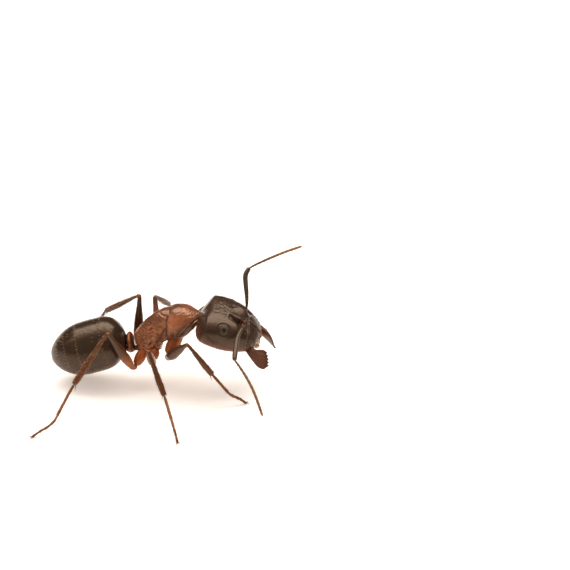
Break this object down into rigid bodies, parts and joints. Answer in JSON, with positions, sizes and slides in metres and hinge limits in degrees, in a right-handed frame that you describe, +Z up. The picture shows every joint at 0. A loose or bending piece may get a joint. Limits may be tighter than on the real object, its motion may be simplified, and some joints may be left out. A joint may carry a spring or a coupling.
{
  "type": "carpenter ant",
  "caption": "Life-size still model of a major worker ant with large head, open jaws, bent feelers, narrow waist and oval abdomen, standing on its feet.",
  "frame": {"origin": "middle of the model's footprint box, on the plane the feet stand on", "axes": "+X ahead, towards the jaws; +Y to the ant's left; +Z up"},
  "size_m": [0.0154, 0.0138, 0.0068],
  "materials": {
    "black_cuticle": "glossy dark brown cuticle",
    "russet_cuticle": "satin red-brown cuticle",
    "amber_cuticle": "satin orange-brown cuticle",
    "brown_limb": "satin brown cuticle",
    "feeler_brown": "satin grey-brown cuticle",
    "eye": "glossy, finely faceted"
  },
  "bodies": {
    "root": {"coxa_left_fore": "amber_cuticle", "coxa_left_hind": "amber_cuticle", "coxa_left_mid": "amber_cuticle", "coxa_right_fore": "amber_cuticle", "coxa_right_hind": "amber_cuticle", "coxa_right_mid": "amber_cuticle", "eye_left": "eye", "eye_right": "eye", "femur_left_fore": "brown_limb", "femur_left_hind": "brown_limb", "femur_left_mid": "brown_limb", "femur_right_fore": "brown_limb", "femur_right_hind": "brown_limb", "femur_right_mid": "brown_limb", "flagellum_left": "feeler_brown", "flagellum_right": "feeler_brown", "gaster_ring_1": "black_cuticle", "gaster_ring_2": "black_cuticle", "gaster_ring_3": "black_cuticle", "gaster_ring_4": "black_cuticle", "gaster_ring_5": "black_cuticle", "head": "black_cuticle", "mandible_left": "brown_limb", "mandible_right": "brown_limb", "mesonotum": "russet_cuticle", "neck": "russet_cuticle", "petiole": "amber_cuticle", "pronotum": "russet_cuticle", "propodeum": "russet_cuticle", "scape_left": "feeler_brown", "scape_right": "feeler_brown", "tarsus_left_fore": "brown_limb", "tarsus_left_hind": "brown_limb", "tarsus_left_mid": "brown_limb", "tarsus_right_fore": "brown_limb", "tarsus_right_hind": "brown_limb", "tarsus_right_mid": "brown_limb", "tibia_left_fore": "brown_limb", "tibia_left_hind": "brown_limb", "tibia_left_mid": "brown_limb", "tibia_right_fore": "brown_limb", "tibia_right_hind": "brown_limb", "tibia_right_mid": "brown_limb"}
  },
  "joints": []
}
